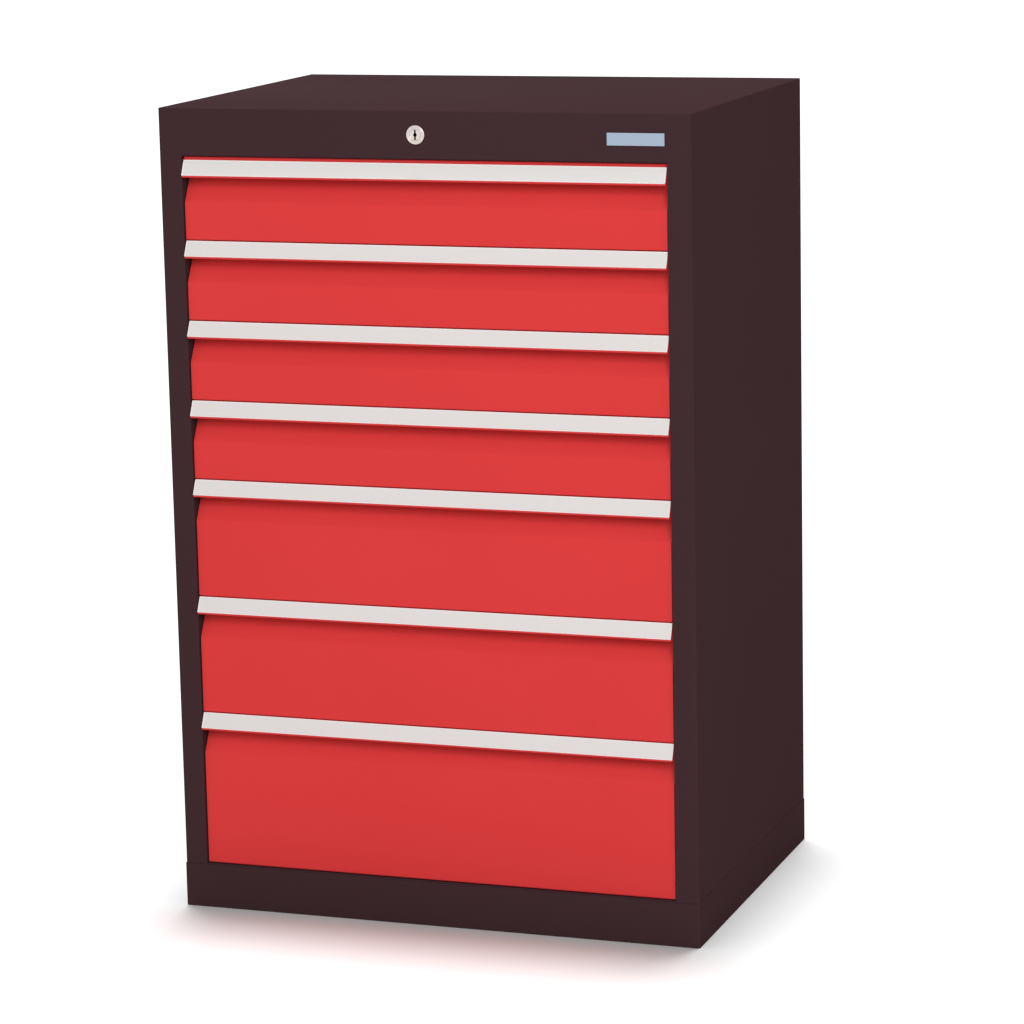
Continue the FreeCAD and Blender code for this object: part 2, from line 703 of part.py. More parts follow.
BAR_FOOT = guide_height(DRAWERS[-1]) + " - size.bar_below"
BAR_HEAD = PIN_Z + " + " + SLOT_HALF + " + size.bar_end"
bar_parts = [box("bar_flat", BAR_SPAN, (BAR_FRONT, BAR_BACK), (BAR_FOOT, BAR_HEAD))]
for number in DRAWERS:
    arm_top = hook_height(number) + " - size.hook_lip - size.catch_gap - " + LIFT
    lip_top = hook_height(number) + " - size.catch_gap - " + LIFT
    catch_y = CATCH_BACK + " - size.hook_steel"
    bar_parts.append(box("catch_arm_%d" % number, HOOK_SPAN, (catch_y, BAR_FRONT),
                         (arm_top + " - size.hook_steel", arm_top)))
    bar_parts.append(box("catch_lip_%d" % number, HOOK_SPAN, (catch_y, CATCH_BACK),
                         (arm_top + " - size.hook_steel", lip_top)))
pin_slot = box("pin_slot", (SLOT_LEFT, SLOT_RIGHT),
               (BAR_FRONT + " - " + SURPLUS, BAR_BACK + " + " + SURPLUS),
               (PIN_Z + " - " + SLOT_HALF, PIN_Z + " + " + SLOT_HALF))
node("lock_bar", cut("lock_bar", fuse("bar_and_catches", bar_parts), pin_slot))

# Guides: straps on the back panel that the bar slides through.
GUIDE_INNER = (BAR_SPAN[0] + " - size.guide_gap", BAR_SPAN[1] + " + size.guide_gap")
GUIDE_OUTER = (GUIDE_INNER[0] + " - size.guide_steel", GUIDE_INNER[1] + " + size.guide_steel")
STRAP_BACK = "(" + BAR_FRONT + " - size.guide_gap)"
STRAP_FRONT = "(" + STRAP_BACK + " - size.guide_steel)"


def bar_guide(number):
    """One strap, bent round the bar, with its two legs on the back panel."""
    name = "guide_%d" % number
    z = (guide_height(number) + " - size.guide_high / 2",
         guide_height(number) + " + size.guide_high / 2")
    return fuse(name, [
        box(name + "_strap", GUIDE_OUTER, (STRAP_FRONT, STRAP_BACK), z),
        box(name + "_left", (GUIDE_OUTER[0], GUIDE_INNER[0]), (STRAP_FRONT, BACK_INSIDE), z),
        box(name + "_right", (GUIDE_INNER[1], GUIDE_OUTER[1]), (STRAP_FRONT, BACK_INSIDE), z)])


node("bar_guides", group("bar_guides", [bar_guide(number) for number in GUIDED]))

# Trays: an open box of thin sheet with slots for dividers, and a hook behind.
TRAY_IN = "(" + TRAY_HALF + " - size.tray_steel)"
SLOT_TOP = "-size.tray_top - size.divider_drop"
DIVIDER_Z = (SLOT_TOP + " - size.divider_high", SLOT_TOP)
TRAY_MIDDLE = "((" + TRAY_FRONT + " + " + TRAY_BACK + ") / 2)"


def slots_to_each_side(half):
    """How many slots fit between the middle of a wall and half a step from its end."""
    return int(float(sheet.evalExpression(half + " / size.divider_pitch - 1 / 2")))


SLOTS_WIDE = slots_to_each_side(TRAY_HALF)
SLOTS_DEEP = slots_to_each_side("(" + TRAY_BACK + " - " + TRAY_MIDDLE + ")")


def slot_stretch(centre):
    """The width of one divider slot."""
    return centre + " - size.divider_slot / 2", centre + " + size.divider_slot / 2"


divider_slots = []
for step in range(-SLOTS_WIDE, SLOTS_WIDE + 1):
    for end, wall in (("front", TRAY_FRONT), ("back", TRAY_BACK)):
        divider_slots.append(box("slot_%s_%d" % (end, step + SLOTS_WIDE),
                                 slot_stretch("size.divider_pitch * (%d)" % step),
                                 (wall + " - " + SURPLUS, wall + " + " + SURPLUS), DIVIDER_Z))
for step in range(-SLOTS_DEEP, SLOTS_DEEP + 1):
    for side in SIDES:
        divider_slots.append(box("slot_%s_%d" % (side, step + SLOTS_DEEP),
                                 across(side, TRAY_HALF + " - " + SURPLUS, TRAY_HALF + " + " + SURPLUS),
                                 slot_stretch(TRAY_MIDDLE + " + size.divider_pitch * (%d)" % step),
                                 DIVIDER_Z))
divider_cutter = group("divider_slots", divider_slots)


def tray(number):
    name = "tray_%d" % number
    bottom = "size.tray_rise - size.drawer_%d" % number
    shell = box(name + "_block", middle(TRAY_HALF), (TRAY_FRONT, TRAY_BACK),
                (bottom, "-size.tray_top"))
    inside = box(name + "_inside", middle(TRAY_IN),
                 (TRAY_FRONT + " + size.tray_steel", TRAY_BACK + " - size.tray_steel"),
                 (bottom + " + size.tray_steel", SURPLUS))
    slotted = cut(name + "_slotted", cut(name + "_shell", shell, inside), divider_cutter)
    hook = "-size.hook_drop"
    lip_y = (HOOK_END + " - size.hook_steel", HOOK_END)
    node(name, fuse(name, [
        slotted,
        box(name + "_hook_arm", HOOK_SPAN, (TRAY_BACK, HOOK_END),
            (hook, hook + " + size.hook_steel")),
        box(name + "_hook_lip", HOOK_SPAN, lip_y, (hook + " - size.hook_lip", hook))]), level(number))


for number in DRAWERS:
    tray(number)

# Bare name plate on the fascia.
PLATE_Z = TOP + " - size.plate_drop"
PLATE_END = OPENING + " - size.plate_inset"
node("name_plate", group("name_plate", [
    box("plate", (PLATE_END + " - size.plate_wide", PLATE_END),
        ("-size.plate_thick", "0"),
        (PLATE_Z + " - size.plate_high / 2", PLATE_Z + " + size.plate_high / 2"))]))

doc.recompute()

# No object may be left failed, and every piece must be sound, before any is written.
for item in doc.Objects:
    if "Invalid" in item.State or "Error" in item.State:
        raise RuntimeError("failed to build: " + item.Name)
for label, item in nodes.items():
    if item.Shape.isNull() or not item.Shape.isValid() or not item.Shape.Solids:
        raise RuntimeError("not a sound solid: " + label)

os.makedirs("parts", exist_ok=True)
for label, item in nodes.items():
    item.Shape.exportStep("parts/" + label + ".step")
    bounds = item.Shape.BoundBox
    print("%-22s %2d solids  x %7.1f %7.1f  y %7.1f %7.1f  z %7.1f %7.1f" % (
        label, len(item.Shape.Solids), bounds.XMin, bounds.XMax, bounds.YMin, bounds.YMax,
        bounds.ZMin, bounds.ZMax))
print("nodes:", len(nodes))
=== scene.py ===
# %% [markdown]
# # A drawer cabinet in sheet steel
#
# The object is a workshop cabinet: a dark housing on a plinth, seven red
# drawers with a pale label strip on each handle, and a lock in the fascia. The
# construction comes as a fixed frame, at its real size and in metres. This
# lesson makes the surfaces that the eye sees, and finishes everything else.

# %% Start: the tools and the frame
import math

import bmesh
import bpy
from mathutils import Matrix, Vector


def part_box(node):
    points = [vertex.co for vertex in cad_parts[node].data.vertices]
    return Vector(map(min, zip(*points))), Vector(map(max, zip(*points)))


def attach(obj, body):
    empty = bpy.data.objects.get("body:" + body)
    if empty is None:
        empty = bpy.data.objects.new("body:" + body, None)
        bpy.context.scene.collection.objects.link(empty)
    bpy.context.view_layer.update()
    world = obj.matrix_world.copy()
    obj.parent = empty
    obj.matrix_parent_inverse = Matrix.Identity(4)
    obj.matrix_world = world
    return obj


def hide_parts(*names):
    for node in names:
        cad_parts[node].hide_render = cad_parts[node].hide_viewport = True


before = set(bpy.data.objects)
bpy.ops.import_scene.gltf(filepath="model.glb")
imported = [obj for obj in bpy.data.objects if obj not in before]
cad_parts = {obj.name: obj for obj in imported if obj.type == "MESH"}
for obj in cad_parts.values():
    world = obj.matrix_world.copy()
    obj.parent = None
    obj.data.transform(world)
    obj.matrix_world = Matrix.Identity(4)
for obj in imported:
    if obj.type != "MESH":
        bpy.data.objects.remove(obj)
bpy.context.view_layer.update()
DRAWERS = range(1, 8)
MM = 0.001

# %% [markdown]
# ## Where things are
#
# Nearly every measure can be read from the frame, which keeps this script true
# when the construction changes. A box gives the lowest and the highest corner
# of one piece. The sheet thicknesses and the radius of a bend are what a
# workshop would use: sheet of 1.2 to 1.5 mm is folded round an inner radius of
# about 1 mm.

# %% Places read from the frame
SIDE_LOW, SIDE_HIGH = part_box("side_panel_right")
TOP_LOW, TOP_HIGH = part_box("top_panel")
FRONT_Y = SIDE_LOW.y
BACK_Y = SIDE_HIGH.y
HALF_WIDE = SIDE_HIGH.x
OPENING = SIDE_LOW.x
HOUSING_STEEL = 1.5 * MM
FRONT_STEEL = 1.2 * MM
INNER_BEND = 1.0 * MM

print("front of the housing at y =", round(FRONT_Y, 4), "half the opening is", round(OPENING, 4))

# %% [markdown]
# ## The camera
#
# The photograph was taken from the right and a little above, with a long lens,
# so that the upright edges stay almost parallel. Turning the camera about its
# own axis by one degree gives the slight lean that the photograph has. The
# angles were found by fitting a box of the real size to the corners in the
# picture, with the optical axis in its middle, so no shift is needed.

# %% Camera
CAMERA_PLACE = Vector((1.6004, -4.2388, 1.4227))
CAMERA_AZIMUTH = math.radians(19.376)
CAMERA_ELEVATION = math.radians(11.196)
CAMERA_ROLL = math.radians(-1.170)
FOCAL_PIXELS = 3771.6
PICTURE_PIXELS = 1024
FARTHEST_SEEN = 100

camera = bpy.data.objects.new("camera", bpy.data.cameras.new("camera"))
bpy.context.scene.collection.objects.link(camera)
bpy.context.scene.camera = camera
camera.data.lens = FOCAL_PIXELS / PICTURE_PIXELS * camera.data.sensor_width
camera.data.clip_end = FARTHEST_SEEN
camera.location = CAMERA_PLACE + Vector((0, FRONT_Y, 0))
turn = Matrix.Rotation(CAMERA_AZIMUTH, 3, "Z")
tilt = Matrix.Rotation(math.radians(90) - CAMERA_ELEVATION, 3, "X")
roll = Matrix.Rotation(CAMERA_ROLL, 3, "Z")
camera.rotation_euler = (turn @ tilt @ roll).to_euler()
print("lens in mm:", round(camera.data.lens, 1))

# %% [markdown]
# ## From a bmesh to a finished piece
#
# Each surface that shows is built as a bmesh, Blender's editable mesh, with the
# same operators that the Edit menu has. When it is finished it becomes an
# object: it gets its materials, it is told which body of the frame it moves
# with, and the piece of the frame that it stands for is hidden. Curved faces are
# shaded smooth, and edges sharper than an angle stay crisp.

# %% Helper: a finished piece
SMOOTH_BELOW = math.radians(35)


def finish_piece(name, bm, body, materials, replaces):
    """Make an object of a bmesh, and say what it is and what it rides on."""
    mesh = bpy.data.meshes.new(name)
    bm.to_mesh(mesh)
    bm.free()
    for material in materials:
        mesh.materials.append(material)
    mesh.shade_smooth()
    mesh.set_sharp_from_angle(angle=SMOOTH_BELOW)
    piece = bpy.data.objects.new(name, mesh)
    bpy.context.scene.collection.objects.link(piece)
    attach(piece, body)
    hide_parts(*replaces)
    return piece


# %% [markdown]
# ## Soft edges
#
# No real edge is perfectly sharp: sheet is deburred, and paint rounds it a
# little more. A Bevel modifier does that for a whole piece, and the thin bright
# line that it catches makes an edge look real. Where two sheets meet flush and
# are ground smooth there is no such edge, so the bevel gets a weight of 0 there.

# %% Helper: soft edges
THIN_EDGE = 0.2 * MM
PAINTED_EDGE = 0.25 * MM
SHEET_EDGE = 0.3 * MM
BLUNT_EDGE = 0.5 * MM


def soft_edges(piece, width, flush=None):
    """Round the sharp edges a little, except those that flush(place) says lie in a seam."""
    bevel = piece.modifiers.new("soft edges", "BEVEL")
    bevel.width = width
    bevel.segments = 2
    bevel.limit_method = "ANGLE"
    bevel.angle_limit = SMOOTH_BELOW
    bevel.harden_normals = True
    if flush:
        bevel.limit_method = "WEIGHT"
        bm = bmesh.new()
        bm.from_mesh(piece.data)
        weight = bm.edges.layers.float.new("bevel_weight_edge")
        for edge in bm.edges:
            sharp = edge.calc_face_angle(0) > SMOOTH_BELOW
            edge[weight] = float(sharp and not flush((edge.verts[0].co + edge.verts[1].co) / 2))
        bm.to_mesh(piece.data)
        bm.free()


# %% [markdown]
# ## Blocks and comparisons
#
# Many pieces start as a block between two corners, which is a cube that is
# scaled and moved. A piece that stands for one of the frame's has to fill the
# same space, so its box is compared with the frame's as soon as it is made.

# %% Helpers: blocks and comparisons
SAME_PLACE = 0.01 * MM


def near(value, other):
    """Whether two places are the same but for rounding."""
    return abs(value - other) < SAME_PLACE


def block(bm, low, high):
    """A cube stretched between two corners."""
    low = Vector(low)
    high = Vector(high)
    made = bmesh.ops.create_cube(bm, size=1.0)["verts"]
    bmesh.ops.scale(bm, vec=high - low, verts=made)
    bmesh.ops.translate(bm, vec=(low + high) / 2, verts=made)


def compare(piece, node):
    """Print how far a new piece's box is from that of the piece it stands for."""
    low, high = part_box(node)
    places = [piece.matrix_world @ Vector(corner) for corner in piece.bound_box]
    worst = 0
    for axis in range(3):
        worst = max(worst, abs(min(p[axis] for p in places) - low[axis]))
        worst = max(worst, abs(max(p[axis] for p in places) - high[axis]))
    print("%s: its box is within %.2f mm of the frame's" % (piece.name, worst / MM))


# %% [markdown]
# ## Colours and materials
#
# A colour picker shows sRGB numbers, while the renderer adds up light in linear
# ones, so one function turns the first into the second. One more adds a node to
# a material: it takes the node's own settings, and for each input either a
# value or the output that feeds it.

# %% Helpers: colours and nodes
def linear(hex_colour):
    """The linear colour, with full opacity, of an sRGB hex code."""
    shares = [int(hex_colour[start:start + 2], 16) / 255 for start in (1, 3, 5)]
    values = [s / 12.92 if s <= 0.04045 else ((s + 0.055) / 1.055) ** 2.4 for s in shares]
    return (*values, 1.0)


def add(tree, kind, settings=None, inputs=None):
    """Add one node, with its settings, its values and its links."""
    new = tree.nodes.new("ShaderNode" + kind)
    for key, value in (settings or {}).items():
        setattr(new, key, value)
    for key, value in (inputs or {}).items():
        if isinstance(value, bpy.types.NodeSocket):
            tree.links.new(value, new.inputs[key])
        else:
            new.inputs[key].default_value = value
    return new


def start_material(name, roughness, metallic=0.0, specular=0.5, ior=1.5):
    """An empty material with one shader. It returns the material, tree, shader and place."""
    material = bpy.data.materials.new(name)
    material.use_nodes = True
    tree = material.node_tree
    shader = tree.nodes["Principled BSDF"]
    shader.inputs["Roughness"].default_value = roughness
    shader.inputs["Metallic"].default_value = metallic
    shader.inputs["Specular IOR Level"].default_value = specular
    shader.inputs["IOR"].default_value = ior
    place = add(tree, "TexCoord").outputs["Object"]
    return material, tree, shader, place


def grains_of(size):
    """The scale of a noise whose grains have this size, given in metres."""
    return 1 / size


# %% [markdown]
# ## Powder coat
#
# Powder coat is dry paint that is blown onto the steel and melted in an oven.
# It flows out almost flat, but keeps an orange peel: shallow waves one to two
# millimetres across, which break up a reflection. The colour itself is very
# even. A second, broad noise lets it drift by one or two parts in a hundred, as
# the film is nowhere quite as thick, and a little grime changes the gloss.
#
# There are three coats. The housing's shows no reflection in the photograph, so
# it is nearly matt and has next to no specular level. The drawers' is satin, and
# the one inside the drawers a little glossier.

# %% Powder coat
PEEL_GRAIN = 1.6 * MM
PEEL_HEIGHT = 0.012 * MM
DRIFT_GRAIN = 220 * MM
GRIME_GRAIN = 35 * MM
GRIME_SMOOTHER = 0.03
GRIME_ROUGHER = 0.04


def powder_coat(name, darker, lighter, roughness, specular):
    """Powder coat whose colour drifts between two close tones."""
    material, tree, shader, place = start_material(name, roughness, specular=specular)
    drift = add(tree, "TexNoise", inputs={"Vector": place, "Scale": grains_of(DRIFT_GRAIN), "Detail": 3.0})
    tones = add(tree, "ValToRGB", inputs={"Fac": drift.outputs["Fac"]})
    tones.color_ramp.elements[0].position = 0.3
    tones.color_ramp.elements[0].color = linear(darker)
    tones.color_ramp.elements[1].position = 0.7
    tones.color_ramp.elements[1].color = linear(lighter)
    tree.links.new(tones.outputs["Color"], shader.inputs["Base Color"])
    grime = add(tree, "TexNoise", inputs={"Vector": place, "Scale": grains_of(GRIME_GRAIN), "Detail": 5.0})
    gloss = add(tree, "MapRange", inputs={"Value": grime.outputs["Fac"], "From Min": 0.3, "From Max": 0.7,
                                          "To Min": roughness - GRIME_SMOOTHER,
                                          "To Max": roughness + GRIME_ROUGHER})
    tree.links.new(gloss.outputs["Result"], shader.inputs["Roughness"])
    peel = add(tree, "TexNoise", inputs={"Vector": place, "Scale": grains_of(PEEL_GRAIN), "Detail": 1.0})
    bump = add(tree, "Bump", inputs={"Height": peel.outputs["Fac"], "Distance": PEEL_HEIGHT, "Strength": 1.0})
    tree.links.new(bump.outputs["Normal"], shader.inputs["Normal"])
    return material


HOUSING_PAINT = powder_coat("dark_powder_coat", "#402c2f", "#412d30", roughness=0.8, specular=0.0005)
DRAWER_PAINT = powder_coat("red_powder_coat", "#d83939", "#da3b3b", roughness=0.6, specular=0.1)
TRAY_PAINT = powder_coat("pale_powder_coat", "#c6c9c5", "#cbceca", roughness=0.42, specular=0.4)
print("powder coats:", HOUSING_PAINT.name, DRAWER_PAINT.name, TRAY_PAINT.name)

# %% [markdown]
# ## Zinc plated steel
#
# Slides and lock parts are bare steel with a thin coat of zinc. It is a metal,
# so the reflection carries its colour. The plating is dull and slightly blotchy,
# and rolling the sheet left fine lines along it: the noise is stretched along Y,
# the way the slides run.

# %% Zinc plated steel
BLOTCH_GRAIN = 12 * MM
ROLLED_LINE = 0.7 * MM
ROLLED_STRETCH = (1.0, 0.03, 1.0)
ROLLED_HEIGHT = 0.01 * MM


def zinc_plate():
    material, tree, shader, place = start_material("zinc_plated_steel", 0.38, metallic=1.0)
    blotch = add(tree, "TexNoise", inputs={"Vector": place, "Scale": grains_of(BLOTCH_GRAIN), "Detail": 4.0})
    tones = add(tree, "ValToRGB", inputs={"Fac": blotch.outputs["Fac"]})
    tones.color_ramp.elements[0].position = 0.25
    tones.color_ramp.elements[0].color = linear("#a2a6a9")
    tones.color_ramp.elements[1].position = 0.75
    tones.color_ramp.elements[1].color = linear("#b3b5b4")
    tree.links.new(tones.outputs["Color"], shader.inputs["Base Color"])
    along = add(tree, "Mapping", inputs={"Vector": place, "Scale": ROLLED_STRETCH})
    lines = add(tree, "TexNoise", inputs={"Vector": along.outputs["Vector"], "Scale": grains_of(ROLLED_LINE),
                                          "Detail": 2.0})
    gloss = add(tree, "MapRange", inputs={"Value": lines.outputs["Fac"], "To Min": 0.28, "To Max": 0.5})
    tree.links.new(gloss.outputs["Result"], shader.inputs["Roughness"])
    bump = add(tree, "Bump", inputs={"Height": lines.outputs["Fac"], "Distance": ROLLED_HEIGHT,
                                     "Strength": 1.0})
    tree.links.new(bump.outputs["Normal"], shader.inputs["Normal"])
    return material


ZINC_STEEL = zinc_plate()
print("metal of the slides:", ZINC_STEEL.name)

# %% [markdown]
# ## Satin nickel
#
# The lock is die-cast and nickel plated, then brushed to a satin finish. The
# brushing is too fine to see as lines at this distance. What is left of it is a
# roughness that changes from one half millimetre to the next.

# %% Satin nickel
BRUSH_GRAIN = 0.6 * MM


def nickel():
    material, tree, shader, place = start_material("satin_nickel", 0.3, metallic=1.0)
    shader.inputs["Base Color"].default_value = linear("#d3c8c6")
    brushed = add(tree, "TexNoise", inputs={"Vector": place, "Scale": grains_of(BRUSH_GRAIN), "Detail": 3.0})
    gloss = add(tree, "MapRange", inputs={"Value": brushed.outputs["Fac"], "To Min": 0.22, "To Max": 0.42})
    tree.links.new(gloss.outputs["Result"], shader.inputs["Roughness"])
    return material


NICKEL = nickel()
print("metal of the lock:", NICKEL.name)

# %% [markdown]
# ## Nylon, plastic and enamel
#
# The rollers are moulded nylon, a slightly translucent off-white: light that
# enters it comes out again a millimetre or two away. The label holder is
# extruded plastic. Both take over the fine texture of their tool. The plate's
# enamel is as smooth as plastic, and so the same function makes it.

# %% Nylon, plastic and enamel
MOULD_HEIGHT = 0.01 * MM
CLOUD_GRAINS = 30
SCATTER_REACH = 1.5 * MM


def moulded(name, darker, lighter, roughness, grain, scatter=0.0, ior=1.5):
    """A smooth moulded or extruded plastic, with a faint texture of the mould."""
    material, tree, shader, place = start_material(name, roughness, specular=0.4, ior=ior)
    cloud = add(tree, "TexNoise", inputs={"Vector": place, "Scale": grains_of(grain * CLOUD_GRAINS),
                                          "Detail": 2.0})
    tones = add(tree, "ValToRGB", inputs={"Fac": cloud.outputs["Fac"]})
    tones.color_ramp.elements[0].color = linear(darker)
    tones.color_ramp.elements[1].color = linear(lighter)
    tree.links.new(tones.outputs["Color"], shader.inputs["Base Color"])
    shader.inputs["Subsurface Weight"].default_value = scatter
    shader.inputs["Subsurface Scale"].default_value = SCATTER_REACH
    mould = add(tree, "TexNoise", inputs={"Vector": place, "Scale": grains_of(grain), "Detail": 2.0})
    bump = add(tree, "Bump", inputs={"Height": mould.outputs["Fac"], "Distance": MOULD_HEIGHT,
                                     "Strength": 1.0})
    tree.links.new(bump.outputs["Normal"], shader.inputs["Normal"])
    return material


NYLON = moulded("moulded_nylon", "#dbd8cc", "#e2dfd5", 0.45, 0.8 * MM, scatter=0.15, ior=1.53)
HOLDER_PLASTIC = moulded("extruded_plastic", "#eae7e5", "#efecea", 0.35, 1.2 * MM)
PLATE_RIM = moulded("black_plastic", "#141315", "#1b1a1d", 0.4, 1.0 * MM)
PLATE_ENAMEL = moulded("blue_enamel", "#9fadc1", "#a4b2c6", 0.3, 1.5 * MM)
# Painted shade: this nearly black material goes on the walls of the keyway, where there is only shade.
KEYWAY_PAINTED_SHADE = moulded("keyway_shadow", "#0e0c0d", "#151213", 0.6, 1.0 * MM)
print("smooth finishes:", NYLON.name, HOLDER_PLASTIC.name, PLATE_RIM.name, PLATE_ENAMEL.name,
      KEYWAY_PAINTED_SHADE.name)

# %% [markdown]
# ## Card
#
# The strip in each label holder is thin white card. It is matt, and its fibres
# lie along the strip, so the noise is stretched along X.

# %% Card
FIBRE_GRAIN = 0.9 * MM
FIBRE_STRETCH = (0.12, 1.0, 1.0)
FIBRE_HEIGHT = 0.02 * MM


def card():
    material, tree, shader, place = start_material("label_card", 0.8, specular=0.2)
    along = add(tree, "Mapping", inputs={"Vector": place, "Scale": FIBRE_STRETCH})
    fibre = add(tree, "TexNoise", inputs={"Vector": along.outputs["Vector"], "Scale": grains_of(FIBRE_GRAIN),
                                          "Detail": 4.0})
    tones = add(tree, "ValToRGB", inputs={"Fac": fibre.outputs["Fac"]})
    tones.color_ramp.elements[0].color = linear("#dbd8d6")
    tones.color_ramp.elements[1].color = linear("#e1dedc")
    tree.links.new(tones.outputs["Color"], shader.inputs["Base Color"])
    bump = add(tree, "Bump", inputs={"Height": fibre.outputs["Fac"], "Distance": FIBRE_HEIGHT,
                                     "Strength": 1.0})
    tree.links.new(bump.outputs["Normal"], shader.inputs["Normal"])
    return material


LABEL_CARD = card()
print("finish of the labels:", LABEL_CARD.name)

# %% [markdown]
# ## Folding sheet metal
#
# Every front and side panel is one sheet, bent in a folding machine. The way to
# model it follows the way it is made. A line of corners is the outer face of
# the section. It is extruded into a strip as long as the sheet is wide, each
# fold is bevelled to its radius, and solidify gives the sheet its thickness.
#
# A bevel's offset is measured along the faces, so an arc of radius r that turns
# by an angle a needs an offset of r times tan(a / 2). The line is the outside of
# some folds and the inside of others. Seen along its way, a fold to the right
# has the sheet on its inner side, so there the line has the larger radius.

# %% Helpers: a folded sheet
FOLD_SEGMENTS = 5


def round_off(bm, edges, offset, segments=FOLD_SEGMENTS):
    """Bevel edges to an arc."""
    bmesh.ops.bevel(bm, geom=edges, offset=offset, affect="EDGES", segments=segments, profile=0.5,
                    material=-1)


def turning(before, here, after):
    """The angle by which a line of corners turns at one of them: negative to the right."""
    first = Vector(here) - Vector(before)
    second = Vector(after) - Vector(here)
    cross = first.x * second.y - first.y * second.x
    return math.copysign(first.angle(second), cross)


def folded_sheet(corners, thickness, place, length, radii):
    """Fold a sheet along a line of corners. place(a, b, l) gives a point in space.

    radii holds the inner radius of the folds that differ from the usual one.
    """
    bm = bmesh.new()
    low, high = length
    line = [bm.verts.new(place(a, b, low)) for a, b in corners]
    edges = [bm.edges.new(pair) for pair in zip(line, line[1:])]
    swept = bmesh.ops.extrude_edge_only(bm, edges=edges)["geom"]
    along = place(0, 0, high) - place(0, 0, low)
    bmesh.ops.translate(bm, vec=along, verts=[v for v in swept if isinstance(v, bmesh.types.BMVert)])

    bmesh.ops.recalc_face_normals(bm, faces=bm.faces)
    start, end = Vector(corners[0]), Vector(corners[1])
    sheet_side = place(end.y - start.y, start.x - end.x, 0) - place(0, 0, 0)
    if line[0].link_faces[0].normal.dot(sheet_side) > 0:
        bmesh.ops.reverse_faces(bm, faces=bm.faces)

    for index in range(1, len(corners) - 1):
        inner = radii.get(index, INNER_BEND)
        if inner == 0:
            continue
        angle = turning(*corners[index - 1:index + 2])
        radius = inner + thickness if angle < 0 else inner
        fold_start = place(*corners[index], low)
        fold = [e for e in bm.edges
                if min((v.co - fold_start).length for v in e.verts) < SAME_PLACE
                and min((v.co - fold_start - along).length for v in e.verts) < SAME_PLACE]
        round_off(bm, fold, radius * math.tan(abs(angle) / 2))
    bmesh.ops.solidify(bm, geom=bm.faces[:], thickness=thickness)
    bmesh.ops.recalc_face_normals(bm, faces=bm.faces)
    return bm


# %% [markdown]
# ## The drawer fronts
#
# A front is one folded sheet of 1.2 mm. It starts in a short hem that the
# fingertips feel, goes up the leaning face that carries the label, over the top,
# and down behind the grip. From there it slopes out to the flat face, with a
# softer bend than the others, and ends in a flange at the foot. The section is
# the same for all seven, and only the flat face is longer on the deep drawers.
# The first one has a riser on top, because no other front hides its upper edge.

# %% Drawer fronts
HANDLE_TOP = 5.2 * MM
HANDLE_WIDE = 23.8 * MM
HANDLE_TILT = math.radians(26)
HANDLE_HEM = 4 * MM
HEM_BEND = 0.2 * MM
RISER = 4.2 * MM
RECESS_BACK = 20.2 * MM
SLOPE_TOP = 24.4 * MM
SLOPE_FOOT = 52.8 * MM
SLOPE_BEND = 7 * MM
FACE_INSIDE = 4.2 * MM


def handle_top(number):
    """Height of the fold at the top of a drawer's leaning handle face."""
    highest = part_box("front_panel_%d" % number)[1].z
    return highest - RISER if number == DRAWERS[0] else highest


def front_corners(number):
    """The section of one front, as distance behind the housing's front, and height."""
    top = handle_top(number)
    low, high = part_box("front_panel_%d" % number)
    grip = (HANDLE_TOP - HANDLE_WIDE * math.sin(HANDLE_TILT), top - HANDLE_WIDE * math.cos(HANDLE_TILT))
    corners = [(grip[0] + HANDLE_HEM, grip[1]), grip, (HANDLE_TOP, top)]
    if number == DRAWERS[0]:
        corners.append((HANDLE_TOP, high.z))
    corners += [(RECESS_BACK, high.z), (RECESS_BACK, top - SLOPE_TOP), (FACE_INSIDE, top - SLOPE_FOOT),
                (FACE_INSIDE, low.z + FRONT_STEEL), (RECESS_BACK, low.z + FRONT_STEEL)]
    return corners


def seen_from_side(behind, height, across):
    """A point of a section that is drawn out along X."""
    return Vector((across, FRONT_Y + behind, height))


def drawer_front(number):
    node = "front_panel_%d" % number
    low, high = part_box(node)
    corners = front_corners(number)
    slope_foot = corners.index((FACE_INSIDE, handle_top(number) - SLOPE_FOOT))
    bm = folded_sheet(corners, FRONT_STEEL, seen_from_side, (low.x, high.x),
                      radii={1: HEM_BEND, slope_foot: SLOPE_BEND})
    piece = finish_piece("drawer_front_%d" % number, bm, "drawer_%d" % number, [DRAWER_PAINT],
                         [node])
    soft_edges(piece, PAINTED_EDGE)
    return piece


for number in DRAWERS:
    compare(drawer_front(number), "front_panel_%d" % number)

# %% [markdown]
# ## The label strips
#
# On each handle face lies a plastic holder that runs the whole width, with a rim
# round a strip of card. It is made flat, as a block whose front face is inset by
# the rim and pushed back to the bed. The bed gets the card's material. Then the
# whole is leaned back to the slope of the handle. The cards are blank.

# %% Label strips
STRIP_RIM = 1.5 * MM
STRIP_RIM_SLOPE = 0.2 * MM
STRIP_BED = 0.6 * MM
STRIP_THICK = 1.8 * MM
STRIP_START = 0.8 * MM
STRIP_WIDE = 20.5 * MM


